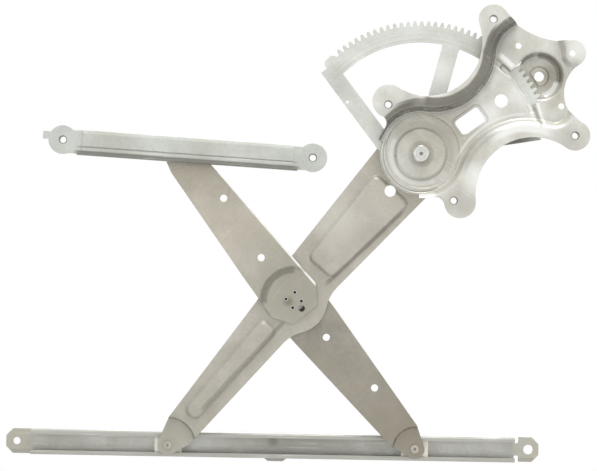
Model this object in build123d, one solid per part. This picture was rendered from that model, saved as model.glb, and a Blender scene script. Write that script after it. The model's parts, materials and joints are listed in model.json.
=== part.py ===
from build123d import *
from typing import NamedTuple
import math
import os

# X-arm window regulator for a car door, power type, without its motor.
#
# Every piece is drawn in plan as seen from the cabin, with the main pivot at (0, 0), x to the right and
# y up. z points at the cabin, so a piece that lies deeper in the door has a lower z. "Depth" is the distance
# behind the door's inner panel. in_door() turns the finished piece into the row's frame: X right, Y into the
# door, Z up, with the origin on the door panel, midway between the upper and lower lug holes.

# ---- Linkage --------------------------------------------------------------------------------------------
HALF_ARM = 155.0          # main pivot to centre joint, and centre joint to each shoe
REST_ANGLE = 50.0         # lift arm below the level line, with the glass fully down
GUIDE_TILT = 3.15         # the guide rail hangs loose on its shoe, its right end low

# ---- Sheet thicknesses and gaps --------------------------------------------------------------------------
PLATE_T = 1.6
SECTOR_T = 2.8
LIFT_T = 2.4
SLAVE_T = 2.3
RAIL_T = 1.4
GUIDE_T = 1.2
RUN_GAP = 0.4             # between sheets that pass each other
FIT_GAP = 0.05            # radial play of a pin in its bush
DRAFT = 20.0              # slope of a pressed wall
BEND = 1.2                # inside radius of a pressed bend
SHALLOW = 45.0            # slope of a low step, which is drawn out further
PAD_STEP_LEFT = 3.6       # lift arm's end pad, away from the cabin
PAD_STEP_RIGHT = 3.0      # slave arm's lower end pad, away from the cabin
PAD_STEP_GUIDE = 0.6      # slave arm's upper end pad, towards the cabin
JOGGLE = 3.2              # slave arm's upper half steps over to the lift arm's front
JOGGLE_RADIUS, JOGGLE_SLOPE = 28.0, 52.0
THROUGH = (-1, 40)        # depths of a cut through everything

# ---- Base plate ------------------------------------------------------------------------------------------
RECESS_DEPTH = 9.0
DISC_RADIUS, DISC_RISE = 21.0, 1.2
PIVOT_RING, PIVOT_SINK, PIVOT_PLACE = 29.8, 0.8, (1.2, 2.0)    # shallow step in the floor round the disc
RING_BEND = 0.4
GROOVE_DEPTH = 1.2
LUG_HOLE = 3.3
NUT_THREAD, NUT_RADIUS, NUT_HEIGHT = 2.6, 5.0, 4.5
TOP_LUG, RIGHT_LUG, LOW_LUG = (55.3, 107.7), (118.6, 81.8), (121.9, 16.2)
BOTTOM_LUG, LEFT_LUG = (26.2, -37.1), (-27.2, 38.4)
# Circles (x, y, radius) that the plate's edge runs round, clockwise, and the hollow radius after each.
EDGE_CORNERS = [(-26.8, 41.2, 13.1), (*TOP_LUG, 11.8), (*RIGHT_LUG, 10.5), (*LOW_LUG, 11.8), (31.2, -38.5, 12.5),
                (0.0, 0.0, 35.6)]
EDGE_HOLLOWS = [43.5, 60.8, 28.0, 46.0, 8.0, 6.0]
# The same for the recess, where its wall leaves the lugs' plane.
RECESS_CORNERS = [(-0.5, 1.5, 36.0), (84.5, 80.0, 29.5), (118.0, 66.0, 8.6), (105.5, 38.0, 14.8)]
RECESS_HOLLOWS = [46.0, 5.5, 25.0, 54.0]
RECESS_MOUTH = 3.5        # inside radius of the bend round the recess's mouth
TRIMMED_RIM, TRIM_FROM, TRIM_TO = 31.8, 163, 268    # the left rim's edge, from the main pivot
LOCATOR_HOLE = 2.6
SLOT_LENGTH, SLOT_WIDTH, SLOT_ANGLE, SLOT_PLACE = 22.4, 13.6, 36.5, (39.0, 26.8)
SIGHT_HOLE, SIGHT_PLACE = 5.4, (63.5, 43.6)
SLOT_RIM, SLOT_CORNER, RIM_CORNER = 2.5, 2.6, 5.0
RIM_SINK = 0.8            # turned-in rim of the window

# ---- Gear: sector and the motor pinion that it takes -----------------------------------------------------
MODULE = 1.75
SECTOR_TEETH = 120        # on the full circle
PINION_TEETH = 10
PINION_ANGLE = 34.2       # direction of the pinion from the main pivot
FIRST_TOOTH, LAST_TOOTH = 9.5, 129.5
RIM_WIDTH = 13.2          # below the tooth roots
SPOKE_WIDTH = 13.5
HUB_RADIUS = 33.0
CUP_MOUTH, CUP_SEAT = 19.2, 4.0
CUP_STEP, CUP_STEP_RISE = 8.4, 1.4    # raised ring round the seat
CUP_CLEARANCE = 1.5       # cup floor behind the sector
TOOTH_CLEARANCE = 2.8     # cut in the cup's wall, beyond the tooth tips
TOOTH_WINDOW = 9.5        # half the angle of the plate's window for the teeth
WINDOW_START = 95.5       # its near edge, from the main pivot
GROOVE_NEAR, GROOVE_FAR, GROOVE_FROM, GROOVE_TO = 92.5, 98.0, 21.0, 49.0    # guide groove over the rim
GROOVE_CORNER = 2.2
CUP_GAP = 16              # half the angle that the cup's wall is open to the sector
RIM_FROM, RIM_TO = 9.0, 138.5         # the sector rim's ends
BLOCK_FROM, BLOCK_CORNER = 132.0, 4.0 # toothless block at the rim's far end
# Each spoke: direction, how far its end stays inside the tooth roots, its centreline left of the main pivot.
SPOKES = [(127.6, 3, 18.45), (75.2, 3, 0), (9.5, 6, 3.75)]
GAUGE_HOLE, GAUGE_PLACE = 1.2, (-59.4, 40.8)
MOTOR_PCD, MOTOR_HOLE, MOTOR_ANGLE = 59.2, 2.5, 126.2

# ---- Pivots ----------------------------------------------------------------------------------------------
PIN_RADIUS, PIN_HEAD, PIN_HEAD_HEIGHT = 6.0, 6.8, 3.0
HEAD_CHAMFER, HEAD_DIMPLE = 0.8, 1.2
PIN_REAR, PIN_REAR_HEIGHT = 8.0, 1.2
WASHER_RADIUS, WASHER_T = 9.0, 0.8
AXIAL_PLAY = 0.1
STUD_COLLAR = 0.5         # from the lower pad's back to the lift rail
BUSH_WALL, BUSH_FLANGE = 1.5, 11.0
HUB_RADIUS_C, HUB_BUSH_WALL, HUB_BUSH_FLANGE = 9.0, 1.2, 14.0
TENON_CIRCLE, TENON_RADIUS, TENON_HEAD, TENON_PROUD = 6.2, 1.4, 1.8, 0.3
TENON_TURN = -7.0
PUNCH_RADIUS, PUNCH_DEPTH = 1.0, 1.6  # mark of the punch that stakes a tenon
STUD_RADIUS, STUD_RIVET, STUD_HEAD, STUD_HEAD_HEIGHT, STUD_SHOULDER = 3.6, 2.8, 3.6, 0.8, 5.6
CLIP_RADIUS, CLIP_T, CLIP_GROOVE, CLIP_MOUTH = 5.4, 0.8, 2.9, 3.2
CLIP_SETBACK, TIP_INSET = 0.8, 0.5    # from a stud's tip to its clip, and from the shoe's face to the tip
POCKET_GAP = 0.8          # round the clip, in the shoe

# ---- Shoes and rails -------------------------------------------------------------------------------------
SHOE_LENGTH, SHOE_GAP, SHOE_CORNER, SHOE_CHAMFER = 22.0, 0.2, 2.0, 0.8
RAIL_HEIGHT = 20.0
LIFT_RAIL_DEPTH, LIFT_RAIL_LIP = 9.6, 3.6
GUIDE_DEPTH, GUIDE_LIP = 8.2, 3.4
GUIDE_SPAN = 199.2        # between the guide rail's bolt holes
LIFT_RAIL_LEFT, LIFT_RAIL_RIGHT = -331.0, 101.0
WALL_LEFT, WALL_RIGHT = -310.5, 81.0
RAIL_HOLE_LEFT, RAIL_HOLE_RIGHT = -322.3, 92.6
RAIL_HOLE_SMALL, RAIL_HOLE_LARGE = 2.9, 3.9
RAIL_END_CHAMFER = 5.6
RELIEF_LENGTH, RELIEF_WIDTH, RELIEF_CORNER = 3.6, 10.0, 1.2    # relief cuts beside the right end pad
BRACKET_PLACE = -112.5
CHANNEL_CORNER, CHANNEL_INSIDE = 2.0, 0.8
GUIDE_NECK, GUIDE_NECK_WIDTH = 7.0, 18.4
TAB_PLACE, TAB_RISE, TAB_SIZE = 0.5, 4.0, (8.0, 6.0)           # small tab outside the left end pad
GUIDE_HOLE_LEFT = -86.3   # from the guide shoe, along the rail
GUIDE_HOLE_RISE = 1.2     # bolt holes above the channel's middle
GUIDE_PAD = 11.4
GUIDE_WALL_GAP = 11.6     # from a bolt hole to the channel's end

# ---- Depths that follow ----------------------------------------------------------------------------------
SECTOR_FRONT = RECESS_DEPTH + PLATE_T + GROOVE_DEPTH + RUN_GAP
LIFT_FRONT = SECTOR_FRONT + SECTOR_T
LIFT_BACK = LIFT_FRONT + LIFT_T
CUP_DEPTH = LIFT_FRONT + CUP_CLEARANCE
HUB_FRONT = LIFT_FRONT - RUN_GAP
UPPER_END_FRONT = HUB_FRONT - SLAVE_T
UPPER_FRONT = UPPER_END_FRONT - JOGGLE
LOWER_FRONT = LIFT_BACK + RUN_GAP
LOWER_BACK = LOWER_FRONT + SLAVE_T
PIN_END = LIFT_BACK + WASHER_T + 2 * AXIAL_PLAY + PIN_REAR_HEIGHT
LIFT_RAIL_FRONT = LOWER_BACK + PAD_STEP_RIGHT + STUD_COLLAR
LIFT_RAIL_BACK = LIFT_RAIL_FRONT + LIFT_RAIL_DEPTH
GUIDE_WALL_LEFT = GUIDE_HOLE_LEFT + GUIDE_WALL_GAP
GUIDE_WALL_RIGHT = GUIDE_HOLE_LEFT + GUIDE_SPAN - GUIDE_WALL_GAP
PITCH_RADIUS = MODULE * SECTOR_TEETH / 2
TIP_RADIUS = PITCH_RADIUS + MODULE
ROOT_RADIUS = PITCH_RADIUS - 1.25 * MODULE
PINION_DISTANCE = MODULE * (SECTOR_TEETH + PINION_TEETH) / 2
# Radius, and half the tooth's width there as a share of the pitch.
TOOTH_FLANK = [(ROOT_RADIUS - 1, 0.36), (PITCH_RADIUS, 0.25), (TIP_RADIUS - 0.3, 0.14), (TIP_RADIUS, 0.09)]


def polar(radius, angle, centre=(0, 0)):
    turn = math.radians(angle)
    return centre[0] + radius * math.cos(turn), centre[1] + radius * math.sin(turn)


PINION = polar(PINION_DISTANCE, PINION_ANGLE)
CENTRE_JOINT = polar(HALF_ARM, 180 + REST_ANGLE)
LEFT_SHOE = polar(HALF_ARM, 180 + REST_ANGLE, CENTRE_JOINT)
RIGHT_SHOE = polar(HALF_ARM, -REST_ANGLE, CENTRE_JOINT)
GUIDE_SHOE = polar(HALF_ARM, 180 - REST_ANGLE, CENTRE_JOINT)
DATUM = ((TOP_LUG[0] + BOTTOM_LUG[0]) / 2, (TOP_LUG[1] + BOTTOM_LUG[1]) / 2)


# ---- Tools of the press shop -----------------------------------------------------------------------------
def in_door(piece):
    """Plan view to the row's frame."""
    return Plane.XZ.location * (Pos(-DATUM[0], -DATUM[1], 0) * piece)


def disc(radius, place, front, back):
    """Round bar between two depths, or a hole when subtracted."""
    return Pos(place[0], place[1], -(front + back) / 2) * Cylinder(radius, back - front)


def slab(outline, front, thickness):
    """Flat sheet with its cabin face at depth `front`."""
    return Pos(0, 0, -front - thickness / 2) * extrude(outline, amount=thickness / 2, both=True)


def plug(outline, wide, narrow, slope):
    """Tapered form from depth `wide`, where it has the outline, to the depth `narrow`."""
    solid = extrude(outline, amount=abs(narrow - wide), taper=slope)
    if narrow > wide:
        solid = mirror(solid, Plane.XY)
    return Pos(0, 0, -wide) * solid


def edges_along(solid, outline, depth):
    """The edges of a solid that follow an outline at one depth."""
    wire = outline.wires()[0]
    found = []
    for edge in solid.edges():
        middle = edge @ 0.5
        if abs(middle.Z + depth) < 0.001 and wire.distance_to(Vertex(middle.X, middle.Y, 0)) < 0.01:
            found.append(edge)
    return found


class Form(NamedTuple):
    """One pressed form: where its wall leaves the sheet's front face, and how deep it starts and ends."""

    outline: Sketch
    start: float
    end: float
    slope: float = DRAFT
    foot: float = BEND
    mouth: float = BEND


def space_before(face, forms, thickness, place):
    """The space in front of a pressed sheet's front or back face. The forms come outermost first."""
    skin = thickness if face == "back" else 0
    middle_x, middle_y, reach = place
    space = Pos(middle_x, middle_y, (reach - skin) / 2) * Box(reach, reach, reach + skin)
    for form in forms:
        lean = math.radians(form.slope)
        grow = skin * (1 / math.cos(lean) - math.tan(lean))
        pocket = form.end > form.start
        wall_foot = offset(form.outline, grow if pocket else -grow) if skin else form.outline
        solid = plug(wall_foot, form.start + skin, form.end + skin, form.slope)
        outer, inner = (skin, thickness - skin) if pocket else (thickness - skin, skin)
        if form.foot:
            level = -form.end - skin
            tip = solid.edges().filter_by_position(Axis.Z, level - 0.001, level + 0.001)
            solid = fillet(tip, form.foot + outer)
        if pocket:
            space += solid
        else:
            space -= solid
        if form.mouth:
            space = fillet(edges_along(space, wall_foot, form.start + skin), form.mouth + inner)
    return space


def pressed_sheet(blank, forms, thickness, front, place):
    """A blank pressed over its forms, then trimmed. place is (x, y, reach) of the working area."""
    sheet = space_before("back", forms, thickness, place) - space_before("front", forms, thickness, place)
    sheet &= extrude(blank, amount=50, both=True)
    return Pos(0, 0, -front) * sheet


def blend_centre(first, second, radius):
    """Centre of the concave arc that touches two convex circles (x, y, radius) from outside."""
    a, b = Vector(first[0], first[1]), Vector(second[0], second[1])
    along = (b - a).normalized()
    reach_a, reach_b, span = first[2] + radius, second[2] + radius, (b - a).length
    foot = (span**2 + reach_a**2 - reach_b**2) / (2 * span)
    return a + along * foot + Vector(-along.Y, along.X) * math.sqrt(reach_a**2 - foot**2)


def blended_outline(circles, blends):
    """Smooth outline through convex circles (x, y, radius), clockwise, with a concave arc after each."""
    count = len(circles)
    hollows = [blend_centre(circles[i], circles[(i + 1) % count], blends[i]) for i in range(count)]
    arcs = []
    for i, (x, y, radius) in enumerate(circles):
        centre, following = Vector(x, y), circles[(i + 1) % count]
        start = centre + (hollows[i - 1] - centre).normalized() * radius
        end = centre + (hollows[i] - centre).normalized() * radius
        first, last = [math.degrees(math.atan2(p.Y - y, p.X - x)) for p in (start, end)]
        last -= 360 * math.ceil((last - first) / 360)
        arcs.insert(0, ThreePointArc(end, polar(radius, (first + last) / 2, (x, y)), start))
        landing = Vector(following[0], following[1])
        landing += (hollows[i] - landing).normalized() * following[2]
        crown = hollows[i] + ((end + landing) * 0.5 - hollows[i]).normalized() * blends[i]
        arcs.insert(0, ThreePointArc(landing, crown, end))
    return make_face(Wire(arcs))


# ---- Base plate ------------------------------------------------------------------------------------------
PLATE_AREA = (50, 30, 420)


def ring_sector(inner, outer, start, end):
    """Part of a ring about the main pivot, between two directions."""
    reach = outer * 1.5
    span = end - start
    wedge = Polygon((0, 0), *[polar(reach, start + span * i / 4) for i in range(5)], align=None)
    return (Circle(outer) - Circle(inner)) & wedge


def base_plate():
    cup = Pos(*PINION) * Circle(CUP_MOUTH)
    step = Pos(*PINION) * Circle(CUP_STEP)
    slot = Pos(*SLOT_PLACE) * Rot(0, 0, SLOT_ANGLE)
    rim = slot * RectangleRounded(SLOT_LENGTH + 2 * SLOT_RIM, SLOT_WIDTH + 2 * SLOT_RIM, RIM_CORNER)
    groove = fillet(ring_sector(GROOVE_NEAR, GROOVE_FAR, GROOVE_FROM, GROOVE_TO).vertices(), GROOVE_CORNER)
    recess = blended_outline(RECESS_CORNERS, RECESS_HOLLOWS)
    sunk = RECESS_DEPTH + PIVOT_SINK
    forms = [
        Form(recess, 0, RECESS_DEPTH, mouth=RECESS_MOUTH),
        Form(cup, RECESS_DEPTH, CUP_DEPTH),
        Form(step, CUP_DEPTH, CUP_DEPTH - CUP_STEP_RISE, SHALLOW, 0, 0),
        Form(Pos(*PIVOT_PLACE) * Circle(PIVOT_RING), RECESS_DEPTH, sunk, SHALLOW, 0, 0),
        Form(Circle(DISC_RADIUS), sunk, RECESS_DEPTH - DISC_RISE, SHALLOW, RING_BEND, RING_BEND),
        Form(rim, RECESS_DEPTH, RECESS_DEPTH + RIM_SINK, SHALLOW, 0, 0),
        Form(groove, RECESS_DEPTH, RECESS_DEPTH + GROOVE_DEPTH, SHALLOW, 0, 0),
    ]
    plate = pressed_sheet(blended_outline(EDGE_CORNERS, EDGE_HOLLOWS), forms, PLATE_T, 0, PLATE_AREA)
    # The left rim is trimmed back to the recess wall.
    plate -= slab(ring_sector(TRIMMED_RIM, 2 * TRIMMED_RIM, TRIM_FROM, TRIM_TO), *THROUGH)
    # The cup's wall is open towards the sector, whose teeth run through it.
    swept = TIP_RADIUS + TOOTH_CLEARANCE
    gap = ring_sector(0.5 * TIP_RADIUS, swept, PINION_ANGLE - CUP_GAP, PINION_ANGLE + CUP_GAP)
    behind = RECESS_DEPTH + PLATE_T
    plate -= slab(gap, behind + GROOVE_DEPTH, CUP_DEPTH - behind - GROOVE_DEPTH)
    plate -= slab(gap & cup, RECESS_DEPTH - 2, CUP_DEPTH - RECESS_DEPTH + 2)
    window = ring_sector(WINDOW_START, swept, PINION_ANGLE - TOOTH_WINDOW, PINION_ANGLE + TOOTH_WINDOW)
    plate -= slab(window, RECESS_DEPTH - 1, CUP_DEPTH - RECESS_DEPTH + 1)
    for lug in (TOP_LUG, LOW_LUG, BOTTOM_LUG, LEFT_LUG):
        plate -= disc(LUG_HOLE, lug, *THROUGH)
    plate -= disc(LOCATOR_HOLE, RIGHT_LUG, *THROUGH)
    for turn in (0, 180):
        plate -= disc(MOTOR_HOLE, polar(MOTOR_PCD / 2, MOTOR_ANGLE + turn, PINION), *THROUGH)
    plate -= disc(CUP_SEAT, PINION, *THROUGH)
    plate -= disc(SIGHT_HOLE, SIGHT_PLACE, *THROUGH)
    plate -= disc(PIN_RADIUS, (0, 0), *THROUGH)
    plate -= slab(slot * RectangleRounded(SLOT_LENGTH, SLOT_WIDTH, SLOT_CORNER), *THROUGH)
    return plate


def base_weld_nuts():
    nuts = []
    for lug in (TOP_LUG, LOW_LUG, BOTTOM_LUG, LEFT_LUG):
        nuts.append(weld_nut(lug, PLATE_T))
    return Compound(nuts)


def weld_nut(place, front):
    blank = Pos(*place) * RegularPolygon(NUT_RADIUS / math.cos(math.pi / 6), 6)
    nut = slab(blank, front, NUT_HEIGHT) - disc(NUT_THREAD, place, front - 1, front + NUT_HEIGHT + 1)
    return nut.solids()[0]


def main_pivot_pin():
    face = RECESS_DEPTH - DISC_RISE
    head = disc(PIN_HEAD, (0, 0), face - PIN_HEAD_HEIGHT, face)
    head = chamfer(head.edges().group_by(Axis.Z)[-1], HEAD_CHAMFER)
    head -= Pos(0, 0, -face + PIN_HEAD_HEIGHT) * Sphere(HEAD_DIMPLE)
    shank = disc(PIN_RADIUS, (0, 0), face, PIN_END)
    return head + shank + disc(PIN_REAR, (0, 0), PIN_END - PIN_REAR_HEIGHT, PIN_END)


def main_pivot_washer():
    front = LIFT_BACK + AXIAL_PLAY
    return disc(WASHER_RADIUS, (0, 0), front, front + WASHER_T) - disc(PIN_RADIUS, (0, 0), front - 1, front + 2)


# ---- Lift arm group --------------------------------------------------------------------------------------
LIFT_DIRECTION = 180 + REST_ANGLE
REACH = 2 * HALF_ARM
HUB_END, BOSS, NOSE = 29.0, 27.0, 8.0     # radii of the lift arm's round places
ARM_BLEND = 30.0
DRAIN_HOLE, DRAIN_PLACE = 4.6, (38.4, 1.0)
BEAD_RISE, BEAD_CORNER, BEAD_GAP = 3.0, 7.0, 1.5
LEFT_PAD, RIGHT_PAD, GUIDE_PAD_EDGE = 23.0, 18.0, 16.4    # where the end pads step off their arms


def turned(piece, angle, centre=(0, 0)):
    """Turns a piece drawn along +x into its direction."""
    return Pos(*centre) * Rot(0, 0, angle) * piece


def softened(outline, radius):
    """Rounds an outline's hollow corners."""
    return offset(offset(outline, radius), -radius)


def lift_arm_outline():
    """Along +x from the main pivot. +y is the arm's lower right side."""
    sides = [
        (0, -30.0), (HALF_ARM, -23.2), (REACH - 18, -14.0), (REACH - 4, -9.8), (REACH + 3, -7.5),
        (REACH + 3, 7.5), (REACH - 12, 12.8), (HALF_ARM + 30, 16.6), (HALF_ARM - 35, 20.0), (0, 27.8),
    ]
    arm = Polygon(*sides, align=None)
    arm += [Circle(HUB_END), Pos(HALF_ARM, 0) * Circle(BOSS), Pos(REACH, 0) * Circle(NOSE)]
    return softened(arm, ARM_BLEND)


def bead(near, far, sides):
    """Raised stiffening bead. sides: y at the near end's lower and upper corner, then at the far end's."""
    outline = Polygon((near, sides[0]), (far, sides[2]), (far, sides[3]), (near, sides[1]), align=None)
    return Form(fillet(outline.vertices(), BEAD_CORNER), 0, -BEAD_RISE, SHALLOW, BEND, BEND)


def lift_arm():
    forms = [
        Form(Pos(REACH, 0) * Circle(LEFT_PAD), 0, PAD_STEP_LEFT),
        bead(HUB_RADIUS + BEAD_GAP, HALF_ARM - BOSS - 5, (-18.5, 21.0, -15.0, 13.5)),
        bead(HALF_ARM + BOSS, REACH - LEFT_PAD - 6, (-10.5, 8.0, -9.5, 5.5)),
    ]
    arm = pressed_sheet(lift_arm_outline(), forms, LIFT_T, LIFT_FRONT, (HALF_ARM, 0, 2 * REACH))
    arm -= disc(PIN_RADIUS + FIT_GAP + BUSH_WALL, (0, 0), *THROUGH)
    arm -= disc(HUB_RADIUS_C + FIT_GAP + HUB_BUSH_WALL, (HALF_ARM, 0), *THROUGH)
    arm -= disc(STUD_RIVET, (REACH, 0), *THROUGH)
    arm -= disc(DRAIN_HOLE, DRAIN_PLACE, *THROUGH)
    for place in RIVETS:
        arm -= disc(RIVET_RADIUS, place, *THROUGH)
    return turned(arm, LIFT_DIRECTION)


RIVET_RADIUS, RIVET_HEAD, RIVET_PROUD = 3.0, 4.6, 0.3
RIVETS = [(-20, 0), (8, -20), (8, 20)]


def sector_rivets():
    rivets = []
    for place in RIVETS:
        rivet = disc(RIVET_RADIUS, place, SECTOR_FRONT, LIFT_BACK)
        rivet += disc(RIVET_HEAD, place, LIFT_BACK, LIFT_BACK + RIVET_PROUD)
        rivets.append(turned(rivet, LIFT_DIRECTION).solids()[0])
    return Compound(rivets)


def tooth(index):
    """One sector tooth, its flanks straight from root to tip."""
    pitch = 360 / SECTOR_TEETH
    middle = FIRST_TOOTH + pitch * index
    right = [polar(radius, middle - share * pitch) for radius, share in TOOTH_FLANK]
    left = [polar(radius, middle + share * pitch) for radius, share in reversed(TOOTH_FLANK)]
    return Polygon(*right, *left, align=None)


def sector_gear():
    rim = ring_sector(ROOT_RADIUS - RIM_WIDTH, ROOT_RADIUS, RIM_FROM, RIM_TO)
    block = ring_sector(ROOT_RADIUS - RIM_WIDTH, TIP_RADIUS, BLOCK_FROM, RIM_TO)
    outer_corners = block.vertices().sort_by_distance((0, 0))[-2:]
    gear = rim + fillet(outer_corners, BLOCK_CORNER) + Circle(HUB_RADIUS)
    for direction, inside, middle in SPOKES:
        length = ROOT_RADIUS - inside
        gear += turned(Pos(length / 2, middle) * Rectangle(length, SPOKE_WIDTH), direction)
    count = round((LAST_TOOTH - FIRST_TOOTH) * SECTOR_TEETH / 360)
    for index in range(count + 1):
        gear += tooth(index)
    gear = slab(gear, SECTOR_FRONT, SECTOR_T)
    gear -= disc(PIN_RADIUS + FIT_GAP + BUSH_WALL, (0, 0), *THROUGH)
    gear -= disc(GAUGE_HOLE, GAUGE_PLACE, *THROUGH)
    for place in RIVETS:
        gear -= turned(disc(RIVET_RADIUS, place, *THROUGH), LIFT_DIRECTION)
    return gear


def main_pivot_bush():
    bore = PIN_RADIUS + FIT_GAP
    front = RECESS_DEPTH - DISC_RISE + PLATE_T + AXIAL_PLAY
    bush = disc(bore + BUSH_WALL, (0, 0), SECTOR_FRONT, LIFT_BACK) + disc(BUSH_FLANGE, (0, 0), front, SECTOR_FRONT)
    return bush - disc(bore, (0, 0), *THROUGH)


def centre_bush():
    bore = HUB_RADIUS_C + FIT_GAP
    place = (HALF_ARM, 0)
    bush = disc(bore + HUB_BUSH_WALL, place, LIFT_FRONT, LIFT_BACK)
    bush += disc(HUB_BUSH_FLANGE, place, HUB_FRONT + AXIAL_PLAY, LIFT_FRONT)
    return turned(bush - disc(bore, place, *THROUGH), LIFT_DIRECTION)


# ---- Shoe studs and clips --------------------------------------------------------------------------------
def stud(place, pad_head, pad_back, shoe_face, tip):
    """Stud riveted in an arm's pad. Its depths run from the rivet head to the tip, whichever way it points."""
    way = 1 if tip > pad_head else -1
    def step(radius, start, end):
        return disc(radius, place, min(start, end), max(start, end))
    body = step(STUD_HEAD, pad_head - way * STUD_HEAD_HEIGHT, pad_head)
    body += step(STUD_RIVET, pad_head, pad_back)
    body += step(STUD_SHOULDER, pad_back, shoe_face - way * AXIAL_PLAY)
    body += step(STUD_RADIUS, shoe_face - way * AXIAL_PLAY, tip)
    groove = tip - way * CLIP_SETBACK
    start = groove - way * CLIP_T
    return body - (step(STUD_RADIUS + 1, start, groove) - step(CLIP_GROOVE, start, groove))


def clip(place, tip, way):
    groove = tip - way * CLIP_SETBACK
    front, back = sorted((groove - way * CLIP_T, groove))
    ring = disc(CLIP_RADIUS, place, front, back) - disc(CLIP_GROOVE, place, front - 1, back + 1)
    mouth = Pos(place[0] + CLIP_RADIUS, place[1], -(front + back) / 2) * Box(2 * CLIP_RADIUS, CLIP_MOUTH, 4 * CLIP_T)
    return ring - mouth


SHOE_FRONT = LIFT_RAIL_FRONT + RAIL_T + SHOE_GAP
SHOE_BACK = LIFT_RAIL_BACK - RAIL_T - SHOE_GAP
GUIDE_SHOE_FRONT = GUIDE_T + SHOE_GAP
GUIDE_SHOE_BACK = GUIDE_DEPTH - GUIDE_T - SHOE_GAP
STUD_TIP = SHOE_BACK - TIP_INSET
GUIDE_TIP = GUIDE_SHOE_FRONT + TIP_INSET


def left_shoe_stud():
    front = LIFT_FRONT + PAD_STEP_LEFT
    return stud(LEFT_SHOE, front, front + LIFT_T, SHOE_FRONT, STUD_TIP)


def right_shoe_stud():
    front = LOWER_FRONT + PAD_STEP_RIGHT
    return stud(RIGHT_SHOE, front, front + SLAVE_T, SHOE_FRONT, STUD_TIP)


def guide_shoe_stud():
    front = UPPER_FRONT - PAD_STEP_GUIDE
    return stud(GUIDE_SHOE, front + SLAVE_T, front, GUIDE_SHOE_BACK, GUIDE_TIP)


def shoe(place, front, back, height, clip_side, tilt=0):
    """Moulded sliding block with a bore for its stud and a pocket for the clip."""
    block = slab(RectangleRounded(SHOE_LENGTH, height, SHOE_CORNER), front, back - front)
    block = chamfer(block.edges().filter_by(Axis.X), SHOE_CHAMFER)
    block -= disc(STUD_RADIUS + FIT_GAP, (0, 0), front - 1, back + 1)
    depth = TIP_INSET + CLIP_SETBACK + CLIP_T + SHOE_GAP
    pocket = (back - depth, back + 1) if clip_side > 0 else (front - 1, front + depth)
    block -= disc(CLIP_RADIUS + POCKET_GAP, (0, 0), *pocket)
    return turned(block, tilt, place)


# ---- Slave arm group -------------------------------------------------------------------------------------
HALF_HOLE = 2.9
LOWER_HOLES, UPPER_HOLES = [(40.0, 1.3), (96.0, 5.9)], [(42.8, -1.1), (98.6, -7.7)]
LOWER_END, HALF_NOSE = 22.5, 7.8      # radii of the half arms' ends
STAKE_HOLE, STAKE_CIRCLE, STAKE_TURN = 2.6, 9.3, -46


def slave_arm_lower():
    """Along +x from the centre joint to the right shoe. +y is its upper right side."""
    sides = [(0, -22.5), (28, -21.2), (HALF_ARM - 14, -13.4), (HALF_ARM + 2, -7.5),
             (HALF_ARM + 2, 7.5), (HALF_ARM - 14, 13.4), (28, 21.2), (0, 22.5)]
    blank = Polygon(*sides, align=None) + Circle(LOWER_END) + Pos(HALF_ARM, 0) * Circle(HALF_NOSE)
    forms = [Form(Pos(HALF_ARM, 0) * Circle(RIGHT_PAD), 0, PAD_STEP_RIGHT)]
    arm = pressed_sheet(blank, forms, SLAVE_T, LOWER_FRONT, (HALF_ARM / 2, 0, 2 * HALF_ARM))
    arm -= disc(STUD_RIVET, (HALF_ARM, 0), *THROUGH)
    for place in LOWER_HOLES:
        arm -= disc(HALF_HOLE, place, *THROUGH)
    for place in tenons():
        arm -= turned(disc(TENON_RADIUS, place, *THROUGH), REST_ANGLE)
    return turned(arm, -REST_ANGLE, CENTRE_JOINT)


def slave_arm_upper():
    """Along +x from the centre joint to the guide shoe. +y is its lower left side."""
    sides = [(-15, -12.4), (0, -22.3), (13, -21.6), (40, -20.8), (HALF_ARM - 14, -16.0), (HALF_ARM + 2, -7.5),
             (HALF_ARM + 2, 7.5), (HALF_ARM - 14, 12.0), (40, 19.8), (13, 21.4), (0, 22.3), (-15, 12.3)]
    blank = Polygon(*sides, align=None) + Pos(HALF_ARM, 0) * Circle(HALF_NOSE)
    forms = [
        Form(Circle(JOGGLE_RADIUS), 0, JOGGLE, JOGGLE_SLOPE),
        Form(Pos(HALF_ARM, 0) * Circle(GUIDE_PAD_EDGE), 0, -PAD_STEP_GUIDE, SHALLOW, 0, 0),
    ]
    arm = pressed_sheet(blank, forms, SLAVE_T, UPPER_FRONT, (HALF_ARM / 2, 0, 2 * HALF_ARM))
    arm -= disc(STUD_RIVET, (HALF_ARM, 0), *THROUGH)
    for place in UPPER_HOLES:
        arm -= disc(HALF_HOLE, place, *THROUGH)
    for place in tenons():
        arm -= turned(disc(TENON_RADIUS, place, *THROUGH), REST_ANGLE - 180)
    arm -= turned(disc(STAKE_HOLE, polar(STAKE_CIRCLE, STAKE_TURN), *THROUGH), REST_ANGLE - 180)
    return turned(arm, 180 - REST_ANGLE, CENTRE_JOINT)


def tenons():
    return [polar(TENON_CIRCLE, TENON_TURN + 90 * i) for i in range(4)]


def centre_hub():
    hub = disc(HUB_RADIUS_C, (0, 0), HUB_FRONT, LOWER_FRONT)
    for place in tenons():
        hub += disc(TENON_RADIUS, place, UPPER_END_FRONT - TENON_PROUD, LOWER_BACK + TENON_PROUD)
        hub += disc(TENON_HEAD, place, UPPER_END_FRONT - TENON_PROUD, UPPER_END_FRONT)
        hub += disc(TENON_HEAD, place, LOWER_BACK, LOWER_BACK + TENON_PROUD)
    for place in tenons():
        # Staked last, so that the punch marks stay open.
        hub -= disc(PUNCH_RADIUS, place, 0, UPPER_END_FRONT - TENON_PROUD + PUNCH_DEPTH)
    return turned(hub, 0, CENTRE_JOINT)


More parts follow.
